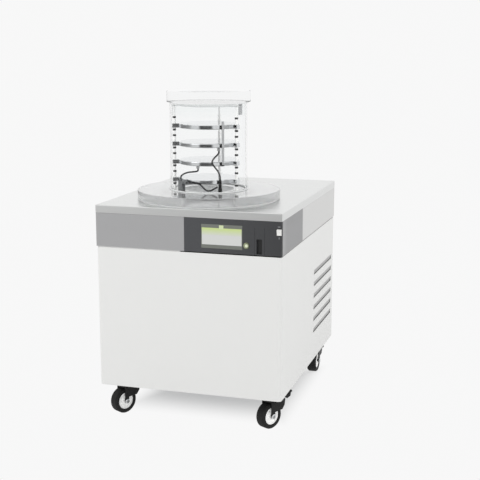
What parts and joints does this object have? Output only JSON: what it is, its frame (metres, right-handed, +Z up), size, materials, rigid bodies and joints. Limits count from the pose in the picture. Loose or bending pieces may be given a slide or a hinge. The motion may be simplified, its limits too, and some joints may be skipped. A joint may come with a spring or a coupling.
{
  "type": "freeze dryer",
  "caption": "Floor-standing laboratory freeze dryer: a sheet-metal cabinet on castors with a control panel, a sunk ice condenser and a clear drying chamber with heated shelves.",
  "frame": {"origin": "on the floor, under the middle of the outer box", "axes": "+Z up, -Y the front with the control panel, +X to the right of someone who faces the front"},
  "size_m": [0.6, 0.7926, 1.049],
  "materials": {
    "white_paint": "satin powder coat",
    "dark_fascia": "satin grey",
    "light_fascia": "satin light grey",
    "brushed_steel": "fine brushed",
    "polished_steel": "polished",
    "anthracite": "matt film",
    "display_glass": "clear",
    "white_plastic": "satin",
    "black_plastic": "satin",
    "grey_plastic": "matt",
    "black_enamel": "gloss",
    "acrylic": "clear",
    "seal_rubber": "matt",
    "tyre": "matt",
    "hub_plastic": "satin",
    "galvanised": "zinc coated sheet",
    "aluminium_fins": "plain",
    "copper": "drawn copper"
  },
  "bodies": {
    "root": {"base_frame": "galvanised", "front_panel": "white_paint", "left_side_panel": "white_paint", "right_side_panel": "white_paint", "rear_panel": "white_paint", "worktop": "brushed_steel", "front_fascia": "dark_fascia", "rear_band": "light_fascia", "control_panel": "anthracite", "display": "display_glass", "condenser_vessel": "polished_steel", "condenser_coil": "polished_steel", "compressor": "black_enamel", "heat_exchanger": "aluminium_fins", "fan_shroud": "galvanised", "suction_pipe": "copper", "discharge_pipe": "copper", "mains_inlet": "black_plastic", "vacuum_port": "polished_steel", "drain_spout": "grey_plastic", "vessel_gasket": "seal_rubber", "chamber_disc": "acrylic", "drum_gasket": "seal_rubber", "drum": "acrylic", "lid_gasket": "seal_rubber", "lid": "acrylic", "rack_top_plate": "polished_steel", "heater_plug": "black_plastic", "terminal_block": "grey_plastic", "shelf_1": "polished_steel", "shelf_2": "polished_steel", "shelf_3": "polished_steel", "shelf_4": "polished_steel", "rack_rod_left": "polished_steel", "rack_rod_right": "polished_steel", "rack_rod_rear": "polished_steel", "lead_left": "seal_rubber", "lead_loop": "seal_rubber", "lead_right": "seal_rubber", "castor_plate_front_left": "black_plastic", "castor_plate_front_right": "black_plastic", "castor_plate_rear_left": "black_plastic", "castor_plate_rear_right": "black_plastic"},
    "button": {"push_button": "white_plastic"},
    "rocker": {"main_switch": "white_plastic"},
    "fan": {"fan_rotor": "black_plastic"},
    "swivel_front_left": {"castor_fork_front_left": "black_plastic"},
    "wheel_front_left": {"castor_hub_front_left": "hub_plastic", "castor_tyre_front_left": "tyre"},
    "brake_front_left": {"brake_pedal_front_left": "black_plastic"},
    "swivel_front_right": {"castor_fork_front_right": "black_plastic"},
    "wheel_front_right": {"castor_hub_front_right": "hub_plastic", "castor_tyre_front_right": "tyre"},
    "brake_front_right": {"brake_pedal_front_right": "black_plastic"},
    "swivel_rear_left": {"castor_fork_rear_left": "black_plastic"},
    "wheel_rear_left": {"castor_hub_rear_left": "hub_plastic", "castor_tyre_rear_left": "tyre"},
    "swivel_rear_right": {"castor_fork_rear_right": "black_plastic"},
    "wheel_rear_right": {"castor_hub_rear_right": "hub_plastic", "castor_tyre_rear_right": "tyre"}
  },
  "joints": [
    {"name": "button_press", "type": "slide", "parent": "root", "child": "button", "axis": [0, 1, 0], "range_m": [0, 0.0015], "stiffness_N_per_m": 300},
    {"name": "main_switch_rock", "type": "hinge", "parent": "root", "child": "rocker", "pos_m": [0.2905, -0.38825, 0.646], "axis": [1, 0, 0], "range_deg": [-18, 0]},
    {"name": "fan_spin", "type": "hinge", "parent": "root", "child": "fan", "pos_m": [0.211, 0.19625, 0.29], "axis": [1, 0, 0], "continuous": true},
    {"name": "swivel_front_left", "type": "hinge", "parent": "root", "child": "swivel_front_left", "pos_m": [-0.248, -0.28875, 0.1], "axis": [0, 0, 1], "continuous": true},
    {"name": "wheel_spin_front_left", "type": "hinge", "parent": "swivel_front_left", "child": "wheel_front_left", "pos_m": [-0.258, -0.30607, 0.042], "axis": [-0.866, 0.5, 0], "continuous": true},
    {"name": "brake_front_left", "type": "hinge", "parent": "swivel_front_left", "child": "brake_front_left", "pos_m": [-0.2275, -0.25324, 0.097], "axis": [-0.866, 0.5, 0], "range_deg": [0, 15]},
    {"name": "swivel_front_right", "type": "hinge", "parent": "root", "child": "swivel_front_right", "pos_m": [0.248, -0.28875, 0.1], "axis": [0, 0, 1], "continuous": true},
    {"name": "wheel_spin_front_right", "type": "hinge", "parent": "swivel_front_right", "child": "wheel_front_right", "pos_m": [0.238, -0.30607, 0.042], "axis": [-0.866, 0.5, 0], "continuous": true},
    {"name": "brake_front_right", "type": "hinge", "parent": "swivel_front_right", "child": "brake_front_right", "pos_m": [0.2685, -0.25324, 0.097], "axis": [-0.866, 0.5, 0], "range_deg": [0, 15]},
    {"name": "swivel_rear_left", "type": "hinge", "parent": "root", "child": "swivel_rear_left", "pos_m": [-0.248, 0.31525, 0.1], "axis": [0, 0, 1], "continuous": true},
    {"name": "wheel_spin_rear_left", "type": "hinge", "parent": "swivel_rear_left", "child": "wheel_rear_left", "pos_m": [-0.248, 0.29525, 0.042], "axis": [-1, 0, 0], "continuous": true},
    {"name": "swivel_rear_right", "type": "hinge", "parent": "root", "child": "swivel_rear_right", "pos_m": [0.248, 0.31525, 0.1], "axis": [0, 0, 1], "continuous": true},
    {"name": "wheel_spin_rear_right", "type": "hinge", "parent": "swivel_rear_right", "child": "wheel_rear_right", "pos_m": [0.248, 0.29525, 0.042], "axis": [-1, 0, 0], "continuous": true}
  ]
}
